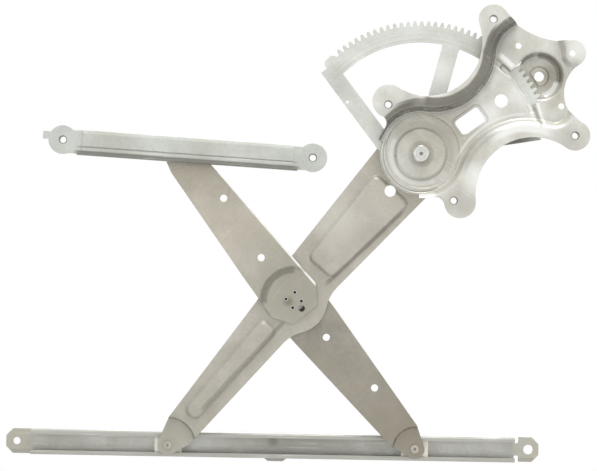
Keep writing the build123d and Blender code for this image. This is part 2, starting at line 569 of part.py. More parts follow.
# ---- Rails -----------------------------------------------------------------------------------------------
def channel(length, height, depth, wall, lip, web_in_front):
    """Lipped channel along +x from 0, middle of its height at y 0, cabin face at depth 0."""
    outer = RectangleRounded(depth, height, CHANNEL_CORNER)
    inner = RectangleRounded(depth - 2 * wall, height - 2 * wall, CHANNEL_INSIDE)
    mouth = Pos(depth / 2 if web_in_front else -depth / 2, 0) * Rectangle(depth, height - 2 * lip)
    profile = Pos(depth / 2, 0) * (outer - inner - mouth)
    # The profile's x is the depth and its y is the height.
    return Plane((0, 0, 0), x_dir=(0, 0, -1), z_dir=(-1, 0, 0)).location * extrude(profile, amount=-length)


def lift_rail():
    body = Pos(WALL_LEFT, 0, 0) * channel(
        WALL_RIGHT - WALL_LEFT, RAIL_HEIGHT, LIFT_RAIL_DEPTH, RAIL_T, LIFT_RAIL_LIP, False)
    length = LIFT_RAIL_RIGHT - LIFT_RAIL_LEFT
    web = Pos((LIFT_RAIL_LEFT + LIFT_RAIL_RIGHT) / 2, 0) * Rectangle(length, RAIL_HEIGHT)
    web = chamfer(web.vertices(), RAIL_END_CHAMFER)
    relief = RectangleRounded(RELIEF_LENGTH, RELIEF_WIDTH, RELIEF_CORNER)
    for side in (-1, 1):
        web -= Pos(WALL_RIGHT + RELIEF_LENGTH / 2, side * RAIL_HEIGHT / 2) * relief
    rail = body + slab(web, LIFT_RAIL_DEPTH - RAIL_T, RAIL_T)
    rail -= disc(RAIL_HOLE_SMALL, (RAIL_HOLE_LEFT, 0), *THROUGH)
    rail -= disc(RAIL_HOLE_LARGE, (RAIL_HOLE_RIGHT, 0), *THROUGH)
    return Pos(0, LEFT_SHOE[1], -LIFT_RAIL_FRONT) * rail


def lift_rail_bracket():
    plate = Polygon((-11.5, 9), (11.5, 9), (11.5, -9), (6, -13.2), (-6, -13.2), (-11.5, -9), align=None)
    return Pos(BRACKET_PLACE, LEFT_SHOE[1]) * slab(plate, LIFT_RAIL_BACK, RAIL_T)


def guide_rail():
    """Drawn along +x with the guide shoe at 0."""
    body = Pos(GUIDE_WALL_LEFT, 0, 0) * channel(
        GUIDE_WALL_RIGHT - GUIDE_WALL_LEFT, RAIL_HEIGHT, GUIDE_DEPTH, GUIDE_T, GUIDE_LIP, True)
    holes = [(GUIDE_HOLE_LEFT, GUIDE_HOLE_RISE), (GUIDE_HOLE_LEFT + GUIDE_SPAN, GUIDE_HOLE_RISE)]
    length = GUIDE_WALL_RIGHT - GUIDE_WALL_LEFT + 2 * GUIDE_NECK
    web = Pos((GUIDE_WALL_LEFT + GUIDE_WALL_RIGHT) / 2, 0) * Rectangle(length, GUIDE_NECK_WIDTH)
    for x, y in holes:
        web += Pos(x, y) * Circle(GUIDE_PAD)
    web += Pos(GUIDE_HOLE_LEFT - GUIDE_PAD - TAB_PLACE, TAB_RISE) * Rectangle(*TAB_SIZE)
    rail = body + slab(web, 0, GUIDE_T)
    for hole in holes:
        rail -= disc(LUG_HOLE, hole, *THROUGH)
    return turned(rail, -GUIDE_TILT, GUIDE_SHOE)


def guide_rail_nuts():
    nuts = []
    for x in (GUIDE_HOLE_LEFT, GUIDE_HOLE_LEFT + GUIDE_SPAN):
        nuts.append(turned(weld_nut((x, GUIDE_HOLE_RISE), GUIDE_T), -GUIDE_TILT, GUIDE_SHOE))
    return Compound(nuts)


# ---- All pieces ------------------------------------------------------------------------------------------
LIFT_SHOE_HEIGHT = RAIL_HEIGHT - 2 * RAIL_T - 2 * SHOE_GAP
GUIDE_SHOE_HEIGHT = RAIL_HEIGHT - 2 * GUIDE_T - 2 * SHOE_GAP


def pieces():
    yield "base_plate", base_plate()
    yield "base_weld_nuts", base_weld_nuts()
    yield "main_pivot_pin", main_pivot_pin()
    yield "main_pivot_washer", main_pivot_washer()
    yield "lift_arm", lift_arm()
    yield "sector_gear", sector_gear()
    yield "sector_rivets", sector_rivets()
    yield "main_pivot_bush", main_pivot_bush()
    yield "centre_bush", centre_bush()
    yield "left_shoe_stud", left_shoe_stud()
    yield "left_shoe_clip", clip(LEFT_SHOE, STUD_TIP, 1)
    yield "slave_arm_upper", slave_arm_upper()
    yield "slave_arm_lower", slave_arm_lower()
    yield "centre_hub", centre_hub()
    yield "right_shoe_stud", right_shoe_stud()
    yield "right_shoe_clip", clip(RIGHT_SHOE, STUD_TIP, 1)
    yield "guide_shoe_stud", guide_shoe_stud()
    yield "guide_shoe_clip", clip(GUIDE_SHOE, GUIDE_TIP, -1)
    yield "left_shoe", shoe(LEFT_SHOE, SHOE_FRONT, SHOE_BACK, LIFT_SHOE_HEIGHT, 1)
    yield "right_shoe", shoe(RIGHT_SHOE, SHOE_FRONT, SHOE_BACK, LIFT_SHOE_HEIGHT, 1)
    yield "guide_shoe", shoe(
        GUIDE_SHOE, GUIDE_SHOE_FRONT, GUIDE_SHOE_BACK, GUIDE_SHOE_HEIGHT, -1, -GUIDE_TILT)
    yield "lift_rail", lift_rail()
    yield "lift_rail_bracket", lift_rail_bracket()
    yield "guide_rail", guide_rail()
    yield "guide_rail_nuts", guide_rail_nuts()


os.makedirs("parts", exist_ok=True)
for name, piece in pieces():
    export_step(in_door(piece), f"parts/{name}.step")
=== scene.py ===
"""Looks of the X-arm window regulator: zinc-plated pressings, turned pins, moulded shoes."""
import json
import math
from typing import NamedTuple

import bmesh
import bpy
from mathutils import Matrix, Vector


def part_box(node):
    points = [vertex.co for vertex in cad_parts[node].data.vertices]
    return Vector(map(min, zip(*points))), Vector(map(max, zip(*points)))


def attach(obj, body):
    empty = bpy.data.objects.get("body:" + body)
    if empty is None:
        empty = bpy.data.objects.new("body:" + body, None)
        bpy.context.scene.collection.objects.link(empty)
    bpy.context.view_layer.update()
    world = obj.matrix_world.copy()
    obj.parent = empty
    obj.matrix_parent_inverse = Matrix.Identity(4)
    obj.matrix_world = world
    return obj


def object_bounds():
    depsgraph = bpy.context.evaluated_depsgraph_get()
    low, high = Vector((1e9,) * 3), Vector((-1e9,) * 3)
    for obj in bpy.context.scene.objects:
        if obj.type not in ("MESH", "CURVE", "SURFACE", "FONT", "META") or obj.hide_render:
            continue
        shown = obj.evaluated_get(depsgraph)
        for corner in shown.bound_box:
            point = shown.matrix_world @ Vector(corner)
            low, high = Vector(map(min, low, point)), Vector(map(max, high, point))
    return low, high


MM = 0.001

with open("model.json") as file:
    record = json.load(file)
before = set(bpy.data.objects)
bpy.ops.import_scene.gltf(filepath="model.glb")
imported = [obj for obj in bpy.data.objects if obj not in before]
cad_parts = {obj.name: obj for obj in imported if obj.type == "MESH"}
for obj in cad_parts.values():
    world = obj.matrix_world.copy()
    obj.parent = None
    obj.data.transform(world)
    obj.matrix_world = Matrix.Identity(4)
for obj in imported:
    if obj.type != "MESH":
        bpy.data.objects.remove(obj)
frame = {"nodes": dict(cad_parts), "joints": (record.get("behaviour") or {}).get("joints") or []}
cad_low, cad_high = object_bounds()
nodes = frame["nodes"]


# ---- Places -----------------------------------------------------------------------------------------------
def hinge_place(name):
    """Where a joint's axis is, in metres."""
    for joint in frame["joints"]:
        if joint["name"] == name:
            return Vector(joint["pos_m"])


MAIN_PIVOT = hinge_place("lift")
CENTRE_JOINT = hinge_place("scissor")
LEFT_SHOE = hinge_place("left_shoe_turn")
RIGHT_SHOE = hinge_place("right_shoe_turn")
GUIDE_SHOE = hinge_place("guide_shoe_turn")


def beside(place, across, up):
    """A place in mm from another, across and up."""
    return place + Vector((across, 0, up)) * MM


def from_pivot(across, up):
    return beside(MAIN_PIVOT, across, up)


def on_lift_rail(across):
    """A place on the lift rail's middle line, in mm across from the main pivot."""
    return Vector((MAIN_PIVOT.x + across * MM, 0, LEFT_SHOE.z))


GUIDE_TILT = 3.15         # degrees, the guide rail's right end low
GUIDE_RAIL_MIDDLE = beside(GUIDE_SHOE, 13.3, -0.7)
WELD_SPOT = beside(on_lift_rail(-114), 0, 3)
LONG_WALL_LEFT = from_pivot(-0.5, 1.5)        # centres of the bends along the plate's walls
LONG_WALL_MIDDLE = from_pivot(9.05, 82.95)
LONG_WALL_TOP = from_pivot(84.5, 80.0)
LOW_WALL = from_pivot(84.7, -27.6)
PINION_CUP = from_pivot(93.0, 64.0)

# ---- Node tools -------------------------------------------------------------------------------------------
COLOUR, FLOAT, VECTOR = "NodeSocketColor", "NodeSocketFloat", "NodeSocketVector"
NOWHERE = (0, 0, 0)
WITHOUT_DEPTH = (1, 0, 1)
MIX_AMOUNT, MIX_FIRST, MIX_SECOND, MIX_RESULT = 0, 6, 7, 2    # a Mix node's sockets when it blends colours


def new_group(name, inputs, outputs):
    """Node group with named sockets. inputs: (name, socket type, default); outputs: (name, socket type)."""
    group = bpy.data.node_groups.new(name, "ShaderNodeTree")
    for label, kind, default in inputs:
        socket = group.interface.new_socket(name=label, in_out="INPUT", socket_type=kind)
        socket.default_value = default
    for label, kind in outputs:
        group.interface.new_socket(name=label, in_out="OUTPUT", socket_type=kind)
    return group, group.nodes.new("NodeGroupInput").outputs, group.nodes.new("NodeGroupOutput").inputs


def mask_group(name, inputs):
    return new_group(name, inputs, [("Mask", FLOAT)])


def placed(tree, group, **settings):
    """Puts a group into a tree and sets its sockets by name."""
    node = tree.nodes.new("ShaderNodeGroup")
    node.node_tree = group
    for name, value in settings.items():
        node.inputs[name.replace("_", " ").title()].default_value = value
    return node.outputs


def feed(tree, socket, source):
    """Sets a socket to a number or colour, or links it to another socket."""
    if isinstance(source, bpy.types.NodeSocket):
        tree.links.new(source, socket)
    else:
        socket.default_value = source


def calculate(tree, operation, first, second=0.0):
    node = tree.nodes.new("ShaderNodeMath")
    node.operation = operation
    feed(tree, node.inputs[0], first)
    feed(tree, node.inputs[1], second)
    return node.outputs["Value"]


def multiply(tree, first, second):
    return calculate(tree, "MULTIPLY", first, second)


def combine(tree, operation, first, second=NOWHERE):
    """Vector maths. Lengths and dot products give a number."""
    node = tree.nodes.new("ShaderNodeVectorMath")
    node.operation = operation
    feed(tree, node.inputs[0], first)
    feed(tree, node.inputs[1], second)
    return node.outputs["Value" if operation in ("LENGTH", "DOT_PRODUCT") else "Vector"]


def ramp(tree, value, low, high, into_low=0.0, into_high=1.0):
    """Stretches a value's range softly."""
    node = tree.nodes.new("ShaderNodeMapRange")
    node.interpolation_type = "SMOOTHSTEP"
    for label, number in zip(("From Min", "From Max", "To Min", "To Max"), (low, high, into_low, into_high)):
        feed(tree, node.inputs[label], number)
    feed(tree, node.inputs["Value"], value)
    return node.outputs["Result"]


def blend_colours(tree, amount, first, second, mode="MIX"):
    node = tree.nodes.new("ShaderNodeMix")
    node.data_type = "RGBA"
    node.blend_type = mode
    feed(tree, node.inputs[MIX_AMOUNT], amount)
    feed(tree, node.inputs[MIX_FIRST], first)
    feed(tree, node.inputs[MIX_SECOND], second)
    return node.outputs[MIX_RESULT]


def noise(tree, place, scale, detail=3.0, roughness=0.55):
    node = tree.nodes.new("ShaderNodeTexNoise")
    feed(tree, node.inputs["Scale"], scale)
    node.inputs["Detail"].default_value = detail
    node.inputs["Roughness"].default_value = roughness
    feed(tree, node.inputs["Vector"], place)
    return node.outputs["Fac"]


def object_place(tree):
    return tree.nodes.new("ShaderNodeTexCoord").outputs["Object"]


def split(tree, vector):
    node = tree.nodes.new("ShaderNodeSeparateXYZ")
    tree.links.new(vector, node.inputs["Vector"])
    return node.outputs


def turned(tree, vector, angle):
    """A vector turned about an axis that runs front to back."""
    node = tree.nodes.new("ShaderNodeVectorRotate")
    node.rotation_type = "Y_AXIS"
    tree.links.new(vector, node.inputs["Vector"])
    tree.links.new(angle, node.inputs["Angle"])
    return node.outputs["Vector"]


def way_from(tree, place, centre):
    """The way from an axis that runs front to back."""
    return combine(tree, "MULTIPLY", combine(tree, "SUBTRACT", place, centre), WITHOUT_DEPTH)


def between(tree, value, low, high, softness):
    """Mask of the values between two limits, soft at both."""
    over = calculate(tree, "DIVIDE", calculate(tree, "SUBTRACT", value, low), softness)
    under = calculate(tree, "DIVIDE", calculate(tree, "SUBTRACT", high, value), softness)
    return ramp(tree, calculate(tree, "MINIMUM", over, under), -0.5, 0.5)


def wavering(tree, length, scale, detail, softness):
    """A length that wavers by half the softness to either side."""
    waver = calculate(tree, "SUBTRACT", noise(tree, object_place(tree), scale, detail), 0.5)
    return calculate(tree, "ADD", length, multiply(tree, waver, softness))


# ---- Effects that the finishes share ----------------------------------------------------------------------
SPECK_COLOUR = (0.16, 0.14, 0.11, 1)
SPECK_STRENGTH = 0.35
CRYSTALS_IN_SHINE = 0.4
WAVE_HEIGHT = 3.0
FINE_HEIGHT = 0.25
PATCH_RAGGEDNESS = 0.7    # of the patch's reach


def zinc_bloom():
    """Cloudy tone and shine of plated sheet, with fine grain and small specks."""
    group, given, result = new_group(
        "Zinc bloom",
        [("Light", COLOUR, (0.6, 0.6, 0.6, 1)), ("Dark", COLOUR, (0.4, 0.4, 0.4, 1)),
         ("Warm", COLOUR, (0.4, 0.35, 0.28, 1)), ("Warm Amount", FLOAT, 0.3),
         ("Cloud Scale", FLOAT, 45.0), ("Shine Low", FLOAT, 0.35), ("Shine High", FLOAT, 0.55)],
        [("Color", COLOUR), ("Roughness", FLOAT), ("Grain", FLOAT)],
    )
    place = object_place(group)
    clouds = ramp(group, noise(group, place, given["Cloud Scale"], detail=5.0, roughness=0.6), 0.34, 0.66)
    warm = ramp(group, noise(group, place, scale=13.0, detail=4.0, roughness=0.6), 0.42, 0.68)
    crystals = noise(group, place, scale=420.0, detail=3.0, roughness=0.7)
    specks = ramp(group, noise(group, place, scale=640.0, detail=1.0, roughness=0.5), 0.73, 0.79)
    colour = blend_colours(group, clouds, given["Dark"], given["Light"])
    colour = blend_colours(group, multiply(group, warm, given["Warm Amount"]), colour, given["Warm"])
    mottle = ramp(group, crystals, 0.25, 0.75, into_low=0.95, into_high=1.05)
    grey = group.nodes.new("ShaderNodeCombineColor")
    for channel in grey.inputs:
        group.links.new(mottle, channel)
    colour = blend_colours(group, 1.0, colour, grey.outputs["Color"], "MULTIPLY")
    colour = blend_colours(group, multiply(group, specks, SPECK_STRENGTH), colour, SPECK_COLOUR)
    unevenness = calculate(group, "ADD", clouds, multiply(group, crystals, CRYSTALS_IN_SHINE))
    shine = ramp(group, unevenness, 0.1, 1.2, into_low=given["Shine High"], into_high=given["Shine Low"])
    waves = multiply(group, noise(group, place, scale=55.0, detail=2.0), WAVE_HEIGHT)
    fine = multiply(group, noise(group, place, scale=1500.0, detail=2.0), FINE_HEIGHT)
    group.links.new(colour, result["Color"])
    group.links.new(shine, result["Roughness"])
    group.links.new(calculate(group, "ADD", waves, fine), result["Grain"])
    return group


def soft_patch():
    """Mask that fades out round a place, with a ragged edge."""
    group, given, result = mask_group(
        "Soft patch", [("Centre", VECTOR, NOWHERE), ("Reach", FLOAT, 0.03)])
    place = object_place(group)
    distance = combine(group, "LENGTH", way_from(group, place, given["Centre"]))
    away = calculate(group, "DIVIDE", distance, given["Reach"])
    ragged = multiply(group, noise(group, place, scale=60.0, detail=4.0, roughness=0.65), PATCH_RAGGEDNESS)
    mask = ramp(group, calculate(group, "ADD", away, ragged), 0.45, 1.35, into_low=1.0, into_high=0.0)
    group.links.new(mask, result["Mask"])
    return group


def round_mark():
    """Mask of a ring between two radii, worn unevenly: rubbed arcs, grooves, weld spots, punch marks, and
    painted shade in pits and round a pin head.
    """
    group, given, result = mask_group(
        "Round mark", [("Centre", VECTOR, NOWHERE), ("Inner", FLOAT, 0.0), ("Outer", FLOAT, 0.003),
                       ("Softness", FLOAT, 0.0004)])
    place = object_place(group)
    away = combine(group, "LENGTH", way_from(group, place, given["Centre"]))
    ring = between(group, away, given["Inner"], given["Outer"], given["Softness"])
    rows = group.nodes.new("ShaderNodeTexNoise")
    rows.noise_dimensions = "1D"
    rows.inputs["Scale"].default_value = 900.0
    group.links.new(away, rows.inputs["W"])
    wear = calculate(group, "ADD", rows.outputs["Fac"], noise(group, place, scale=90.0))
    worn = ramp(group, wear, 0.75, 1.2, into_low=0.25)
    group.links.new(multiply(group, ring, worn), result["Mask"])
    return group


def drawn_scratches():
    """Mask of fine scratches that run along a direction."""
    group, given, result = mask_group(
        "Drawn scratches", [("Turn", FLOAT, 0.0), ("Amount", FLOAT, 0.5)])
    stretched = group.nodes.new("ShaderNodeMapping")
    stretched.inputs["Scale"].default_value = (0.02, 1.0, 1.0)
    group.links.new(turned(group, object_place(group), given["Turn"]), stretched.inputs["Vector"])
    threads = noise(group, stretched.outputs["Vector"], scale=900.0, detail=4.0, roughness=0.7)
    lines = ramp(group, threads, 0.52, 0.72)
    areas = ramp(group, noise(group, object_place(group), scale=30.0), 0.42, 0.62)
    group.links.new(multiply(group, multiply(group, lines, areas), given["Amount"]), result["Mask"])
    return group


def wall_shade_mask():
    """Mask of the steep walls, for painted shade that is stronger where they face down, and for the smoother,
    more metallic face that the press gives them. Flats and cut edges stay out."""
    group, given, result = mask_group(
        "Painted wall shade", [("Streaks", FLOAT, 0.35), ("Upper", FLOAT, 0.15)])
    facing = split(group, group.nodes.new("ShaderNodeTexCoord").outputs["Normal"])
    forwards = calculate(group, "ABSOLUTE", facing["Y"])
    not_flat = ramp(group, forwards, 0.70, 0.99, into_low=1.0, into_high=0.0)
    not_cut_edge = ramp(group, forwards, 0.1, 0.3)
    wall = multiply(group, not_flat, not_cut_edge)
    # painted shade: full where the walls face down, only the Upper share where they face up
    underside = ramp(group, facing["Z"], -0.30, 0.40, into_low=1.0, into_high=given["Upper"])
    streaks = ramp(group, noise(group, object_place(group), scale=160.0, detail=3.0), 0.35, 0.65)
    kept = calculate(group, "SUBTRACT", 1.0, multiply(group, streaks, given["Streaks"]))
    group.links.new(multiply(group, multiply(group, wall, underside), kept), result["Mask"])
    return group


def long_band():
    """Mask of a band that runs along a direction, between two heights above a place."""
    group, given, result = mask_group(
        "Long band", [("Centre", VECTOR, NOWHERE), ("Turn", FLOAT, 0.0), ("Low", FLOAT, 0.0),
                      ("High", FLOAT, 0.01), ("Softness", FLOAT, 0.001), ("Half Length", FLOAT, 1.0)])
    away = combine(group, "SUBTRACT", object_place(group), given["Centre"])
    along = split(group, turned(group, away, given["Turn"]))
    height = wavering(group, along["Z"], 80.0, 3.0, given["Softness"])
    band = between(group, height, given["Low"], given["High"], given["Softness"])
    to_end = calculate(group, "SUBTRACT", given["Half Length"], calculate(group, "ABSOLUTE", along["X"]))
    inside = ramp(group, calculate(group, "DIVIDE", to_end, given["Softness"]), 0.0, 5.0)
    group.links.new(multiply(group, band, inside), result["Mask"])
    return group


def pressed_arc():
    """Mask of an arc between two radii, round a direction: painted shade and highlights along pressed walls.
    """
    group, given, result = mask_group(
        "Pressed arc", [("Centre", VECTOR, NOWHERE), ("Inner", FLOAT, 0.0), ("Outer", FLOAT, 0.01),
                        ("Softness", FLOAT, 0.001), ("Middle", VECTOR, (1, 0, 0)), ("Spread", FLOAT, 0.5)])
    outwards = way_from(group, object_place(group), given["Centre"])
    away = wavering(group, combine(group, "LENGTH", outwards), 70.0, 4.0, given["Softness"])
    ring = between(group, away, given["Inner"], given["Outer"], given["Softness"])
    agreement = combine(group, "DOT_PRODUCT", combine(group, "NORMALIZE", outwards), given["Middle"])
    past_end = calculate(group, "SUBTRACT", agreement, calculate(group, "COSINE", given["Spread"]))
    inside = ramp(group, past_end, -0.04, 0.08)
    group.links.new(multiply(group, ring, inside), result["Mask"])
    return group


def front_faces():
    """Mask of what lies nearer the cabin than a depth."""
    group, given, result = mask_group(
        "Front faces", [("Depth", FLOAT, 0.0), ("Softness", FLOAT, 0.001)])
    ahead = calculate(group, "SUBTRACT", given["Depth"], split(group, object_place(group))["Y"])
    mask = ramp(group, calculate(group, "DIVIDE", ahead, given["Softness"]), -0.5, 0.5)
    group.links.new(mask, result["Mask"])
    return group


ZINC_BLOOM = zinc_bloom()
SOFT_PATCH = soft_patch()
ROUND_MARK = round_mark()
DRAWN_SCRATCHES = drawn_scratches()
WALL_SHADE_MASK = wall_shade_mask()
LONG_BAND = long_band()
PRESSED_ARC = pressed_arc()
FRONT_FACES = front_faces()


# ---- Paints: where a tone goes on a finish, in mm and degrees ---------------------------------------------
class Patch(NamedTuple):
    """A soft spot with a ragged edge."""
    centre: Vector
    reach: float
    tone: tuple
    strength: float

    def mask(self, tree):
        return placed(tree, SOFT_PATCH, centre=self.centre, reach=self.reach * MM)["Mask"]


class Mark(NamedTuple):
    """A ring or a disc, worn unevenly."""
    centre: Vector
    inner: float
    outer: float
    tone: tuple = ()
    strength: float = 1.0

    def mask(self, tree):
        radii = {"inner": self.inner * MM, "outer": self.outer * MM}
        return placed(tree, ROUND_MARK, centre=self.centre, **radii)["Mask"]


class Arc(NamedTuple):
    """A piece of a ring, as far as the spread to either side of a direction."""
    centre: Vector
    inner: float
    outer: float
    softness: float
    turn: float
    spread: float
    tone: tuple
    strength: float

    def mask(self, tree):
        turn = math.radians(self.turn)
        sizes = {"inner": self.inner * MM, "outer": self.outer * MM, "softness": self.softness * MM}
        middle = (math.cos(turn), 0, math.sin(turn))
        spread = math.radians(self.spread)
        return placed(tree, PRESSED_ARC, centre=self.centre, middle=middle, spread=spread, **sizes)["Mask"]


class Band(NamedTuple):
    """A straight band along a direction, from one height above its centre to another."""
    centre: Vector
    turn: float
    low: float
    high: float
    softness: float
    half_length: float = 1000
    tone: tuple = ()
    strength: float = 1.0

    def mask(self, tree):
        heights = {"low": self.low * MM, "high": self.high * MM, "softness": self.softness * MM}
        reach = {"turn": math.radians(self.turn), "half_length": self.half_length * MM}
        return placed(tree, LONG_BAND, centre=self.centre, **heights, **reach)["Mask"]


class Front(NamedTuple):
    """All that lies nearer the cabin than a depth."""
    depth: float
    tone: tuple
    strength: float

    def mask(self, tree):
        return placed(tree, FRONT_FACES, depth=self.depth * MM)["Mask"]


def painted(tree, colour, paints):
    """A colour with the paints laid over it, the last one on top."""
    for paint in paints:
        amount = multiply(tree, paint.mask(tree), paint.strength)
        colour = blend_colours(tree, amount, colour, (*paint.tone, 1))
    return colour


# ---- Kinds of finish --------------------------------------------------------------------------------------
# how far, in mm, the painted shade in creases looks for nearby surfaces
CREASE_REACH = 9.0        # mm
OPEN_WALLS = 0.18         # share of the shade on walls outside the lee
# painted shade: walls and creases darken towards this share of the light tone
WALL_SHADE_TONE = 0.30          # of the light tone
WALL_POLISH = 0.14        # taken off the roughness
WALL_METALLIC = 0.9
SCRATCH_TONE = 1.25       # of the light tone


def new_material(name):
    material = bpy.data.materials.new(name)
    material.use_nodes = True
    tree = material.node_tree
    return material, tree, tree.nodes["Principled BSDF"]


def add_grain(tree, shader, height, strength, depth, edge_radius):
    """Fine bumps, over edges that are rounded off a little. Lengths are in mm."""
    edges = tree.nodes.new("ShaderNodeBevel")
    edges.samples = 6
    edges.inputs["Radius"].default_value = edge_radius * MM
    bump = tree.nodes.new("ShaderNodeBump")
    bump.inputs["Strength"].default_value = strength
    bump.inputs["Distance"].default_value = depth * MM
    tree.links.new(edges.outputs["Normal"], bump.inputs["Normal"])
    tree.links.new(height, bump.inputs["Height"])
    tree.links.new(bump.outputs["Normal"], shader.inputs["Normal"])


def shaded_walls(tree, walls, creases, lee, calm):
    """Mask of the walls and creases, for their painted shade and their polish: lighter outside the lee (the
    band where walls face away from the light) and inside the calm disc.
    """
    shade = multiply(tree, placed(tree, WALL_SHADE_MASK)["Mask"], walls)
    if creases:
        # painted shade in creases, darker where more of the part's own surface lies near
        hollow = tree.nodes.new("ShaderNodeAmbientOcclusion")
        hollow.samples = 8
        hollow.only_local = True
        hollow.inputs["Distance"].default_value = CREASE_REACH * MM
        crease = ramp(tree, hollow.outputs["AO"], 0.60, 0.96, into_low=1.0, into_high=0.0)
        shade = calculate(tree, "MAXIMUM", shade, multiply(tree, crease, creases))
    if lee:
        shade = multiply(tree, shade, ramp(tree, lee.mask(tree), 0.0, 1.0, into_low=OPEN_WALLS))
    if calm:
        kept = ramp(tree, calm.mask(tree), 0.0, 1.0, into_low=1.0, into_high=1.0 - calm.strength)
        shade = multiply(tree, shade, kept)
    return shade


def plated_sheet(name, light, dark, warm=(0.40, 0.35, 0.27), warm_amount=0.25, clouds=45.0, shine=(0.34, 0.5),
                 metallic=0.35, drawn=0.0, drawn_amount=0.35, walls=0.75, creases=0.0, lee=None, calm=None,
                 paints=()):
    """Zinc-plated steel. clouds: their number in a metre; shine: lowest and highest roughness; drawn: the
    scratches' direction, in degrees; walls and creases: how much painted shade these get; lee: the band,
    where walls face away from the light, that keeps the painted shade dark; calm: a disc that keeps it
    lighter."""
    material, tree, shader = new_material(name)
    bloom = placed(tree, ZINC_BLOOM, light=(*light, 1), dark=(*dark, 1), warm=(*warm, 1),
                   warm_amount=warm_amount, cloud_scale=clouds, shine_low=shine[0], shine_high=shine[1])
    colour = painted(tree, bloom["Color"], paints)
    scratches = placed(tree, DRAWN_SCRATCHES, turn=math.radians(drawn), amount=drawn_amount)["Mask"]
    scratch_tone = [min(1.0, SCRATCH_TONE * channel) for channel in light]
    colour = blend_colours(tree, scratches, colour, (*scratch_tone, 1))
    # painted shade on walls and creases, laid over the colour
    shade = shaded_walls(tree, walls, creases, lee, calm)
    wall_shade_tone = [WALL_SHADE_TONE * channel for channel in light]
    colour = blend_colours(tree, shade, colour, (*wall_shade_tone, 1))
    roughness = calculate(tree, "SUBTRACT", bloom["Roughness"], multiply(tree, shade, WALL_POLISH))
    metal = ramp(tree, shade, 0.0, 1.0, into_low=metallic, into_high=WALL_METALLIC)
    tree.links.new(colour, shader.inputs["Base Color"])
    tree.links.new(roughness, shader.inputs["Roughness"])
    tree.links.new(metal, shader.inputs["Metallic"])
    add_grain(tree, shader, bloom["Grain"], strength=0.25, depth=0.08, edge_radius=0.35)
    return material


def moulded(name, light, dark, shine):
    """Moulded plastic with slight marbling."""
    material, tree, shader = new_material(name)
    place = object_place(tree)
    marbling = ramp(tree, noise(tree, place, scale=120.0, detail=3.0), 0.35, 0.65)
    roughness = ramp(tree, marbling, 0.0, 1.0, into_low=shine[0], into_high=shine[1])
    tree.links.new(blend_colours(tree, marbling, (*dark, 1), (*light, 1)), shader.inputs["Base Color"])
    tree.links.new(roughness, shader.inputs["Roughness"])
    grain = noise(tree, place, scale=1400.0, detail=2.0)
    add_grain(tree, shader, grain, strength=0.2, depth=0.03, edge_radius=0.3)
    return material


# ---- The finish of each piece -----------------------------------------------------------------------------
# painted shade in the hub's stake pits
PIT_SHADE = (0.02, 0.02, 0.02)
# dark weld marks, and painted shade round the pin head, beside the hub and in the cup
DIRT_AND_SHADE = (0.13, 0.11, 0.08)
# painted shade on pressed walls, beads and the joggle, and where the sector lies behind the plate
PAINTED_WALL_SHADE = (0.15, 0.14, 0.115)
CHANNEL_SHADE = (0.19, 0.19, 0.165)
LOWER_ARM_SHADE = (0.235, 0.21, 0.165)
RAIL_FOOT_SHADE = (0.28, 0.275, 0.245)
GROOVE_SHADE = (0.30, 0.30, 0.27)
UMBER = (0.30, 0.265, 0.20)
ARM_SHADE = (0.31, 0.30, 0.25)
RAIL_MIDDLE_SHADE = (0.33, 0.325, 0.29)
GREY = (0.36, 0.35, 0.31)
RAIL_LIP_SHADE = (0.36, 0.355, 0.32)
RAIL_PAD_SHADE = (0.38, 0.36, 0.30)
# a lighter patch on the lift arm
PALE_ARM_TONE = (0.62, 0.60, 0.54)
SMEARED_METAL = (0.80, 0.81, 0.78)
# painted highlights on walls, flanges, lugs, steps and edges
PAINTED_HIGHLIGHT = (0.84, 0.85, 0.82)


